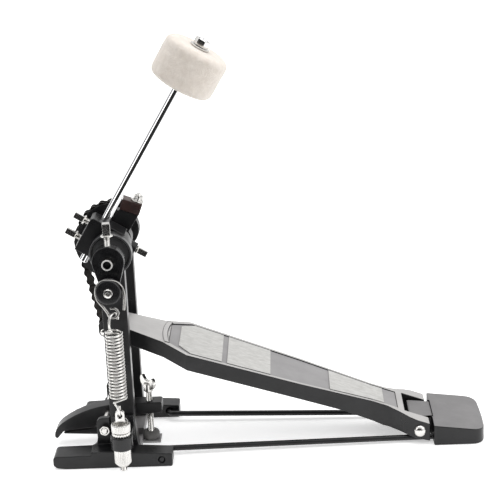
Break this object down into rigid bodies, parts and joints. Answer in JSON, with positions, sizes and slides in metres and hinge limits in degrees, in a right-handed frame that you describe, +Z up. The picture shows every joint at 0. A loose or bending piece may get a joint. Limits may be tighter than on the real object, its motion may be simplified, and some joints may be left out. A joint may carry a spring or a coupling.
{
  "type": "bass drum pedal",
  "caption": "Bass drum pedal: felt beater on a chain-driven axle between two uprights, sloped footboard hinged to a heel plate, side return spring and hoop clamp.",
  "frame": {"origin": "On the floor under the axle, halfway between the two uprights: a point of the bridge plate's underside.", "axes": "+Z up, +X from the drum towards the player's heel, -Y the side with the return spring."},
  "size_m": [0.4043, 0.153, 0.389],
  "materials": {
    "black_casting": "satin black paint on die-cast metal",
    "grey_casting": "satin grey paint on die-cast metal",
    "zinc": "bright zinc plate",
    "black_plastic": "smooth black moulding",
    "chrome": "polished chrome plate",
    "chain_steel": "blackened, oiled roller chain",
    "white_felt": "pressed off-white wool felt",
    "red_felt": "dark red felt strip",
    "silver_grit": "light silver textured grip sheet",
    "brown_block": "dark red-brown paint"
  },
  "bodies": {
    "base": {"foot_rail_near": "black_casting", "foot_rail_far": "black_casting", "base_bridge": "grey_casting", "lower_jaw": "black_casting", "jaw_screw": "zinc", "upright_near": "black_casting", "upright_far": "black_casting", "upright_screw_near": "zinc", "upright_screw_far": "zinc", "bearing_near": "zinc", "bearing_far": "zinc", "link_rod_near": "black_casting", "link_rod_far": "black_casting", "clamp_pivot_bolt": "zinc", "clamp_pivot_nut": "zinc", "clamp_sleeve_near": "zinc", "clamp_sleeve_far": "zinc", "spring_bracket": "black_plastic", "bracket_screw": "zinc", "spring_eye_bolt": "zinc", "serrated_washer": "zinc", "heel_plate": "grey_casting", "hinge_pin": "zinc"},
    "drive": {"axle": "zinc", "cam": "black_casting", "cam_felt": "red_felt", "chain_clamp": "brown_block", "chain_clamp_stud": "zinc", "chain_clamp_nut": "zinc", "chain_wrap": "chain_steel", "beater_holder": "black_casting", "rod_key_bolt_upper": "zinc", "rod_key_bolt_lower": "zinc", "hub_key_bolt": "zinc", "spring_rocker": "black_plastic", "rocker_key_bolt": "zinc", "roller_bolt": "zinc"},
    "roller": {"roller": "black_plastic"},
    "beater": {"beater_rod": "chrome", "beater_felt": "white_felt", "felt_washer_lower": "zinc", "felt_washer_upper": "zinc", "felt_nut": "zinc"},
    "chain_run": {"chain_run": "chain_steel"},
    "footboard": {"footboard": "black_casting", "tread_plate": "grey_casting", "grip_patch_toe": "silver_grit", "grip_patch_middle": "silver_grit", "grip_patch_heel": "silver_grit", "toe_pin": "zinc"},
    "spring_lower": {"spring_hook_lower": "zinc", "spring_coil": "zinc"},
    "spring_upper": {"spring_hook_upper": "zinc", "spring_stirrup": "zinc"},
    "clamp_lever": {"clamp_lever": "black_casting"},
    "clamp_screw": {"clamp_screw": "zinc"},
    "clamp_foot": {"clamp_foot": "black_plastic"},
    "lock_nut": {"tension_cup_nut": "zinc"},
    "adjusting_nut": {"tension_nut": "zinc"}
  },
  "joints": [
    {"name": "axle_spin", "type": "hinge", "parent": "base", "child": "drive", "pos_m": [0, 0, 0.1984], "axis": [0, 1, 0], "range_deg": [-42, 0], "stiffness_Nm_per_rad": 0.6, "springref_deg": 28.65},
    {"name": "footboard_hinge", "type": "hinge", "parent": "base", "child": "footboard", "pos_m": [0.2743, 0, 0.0139], "axis": [0, 1, 0], "range_deg": [-4.8, 0]},
    {"name": "chain_swing", "type": "hinge", "parent": "drive", "child": "chain_run", "pos_m": [-0.03326, 0.00575, 0.19133], "axis": [0, 1, 0], "range_deg": [0, 56]},
    {"name": "spring_swing", "type": "hinge", "parent": "base", "child": "spring_lower", "pos_m": [0.002, -0.078, 0.0575], "axis": [0, 1, 0], "range_deg": [0, 8]},
    {"name": "spring_stretch", "type": "slide", "parent": "spring_lower", "child": "spring_upper", "axis": [-0.017, 0, 0.9999], "range_m": [0, 0.0056], "deforming": ["spring_coil"]},
    {"name": "roller_spin", "type": "hinge", "parent": "drive", "child": "roller", "pos_m": [0, -0.077, 0.175], "axis": [0, 1, 0], "continuous": true},
    {"name": "beater_height", "type": "slide", "parent": "drive", "child": "beater", "axis": [0.5195, 0, 0.8545], "range_m": [-0.03, 0.012]},
    {"name": "clamp_open", "type": "hinge", "parent": "base", "child": "clamp_lever", "pos_m": [-0.0164, -0.004, 0.0315], "axis": [0, 1, 0], "range_deg": [0, 12]},
    {"name": "clamp_screw_feed", "type": "slide", "parent": "clamp_lever", "child": "clamp_screw", "axis": [0, 0, 1], "range_m": [0, 0.0085]},
    {"name": "clamp_foot_swivel", "type": "hinge", "parent": "clamp_screw", "child": "clamp_foot", "pos_m": [0.0217, -0.004, 0.0054], "axis": [0, 1, 0], "range_deg": [-12.5, 0]},
    {"name": "lock_nut_spin", "type": "hinge", "parent": "base", "child": "lock_nut", "pos_m": [0.002, -0.078, 0.044], "axis": [0, 0, 1], "continuous": true},
    {"name": "tension_nut_spin", "type": "hinge", "parent": "base", "child": "adjusting_nut", "pos_m": [0.002, -0.078, 0.017], "axis": [0, 0, 1], "continuous": true}
  ],
  "couplings": [
    {"joint": "footboard_hinge", "follows": "axle_spin", "ratio": 0.1113},
    {"joint": "chain_swing", "follows": "axle_spin", "ratio": -1.3076},
    {"joint": "spring_swing", "follows": "axle_spin", "ratio": -0.1827},
    {"joint": "spring_stretch", "follows": "axle_spin", "m_per_rad": -0.007127},
    {"joint": "clamp_screw_feed", "follows": "clamp_open", "m_per_rad": 0.0381},
    {"joint": "clamp_foot_swivel", "follows": "clamp_open", "ratio": -1}
  ]
}
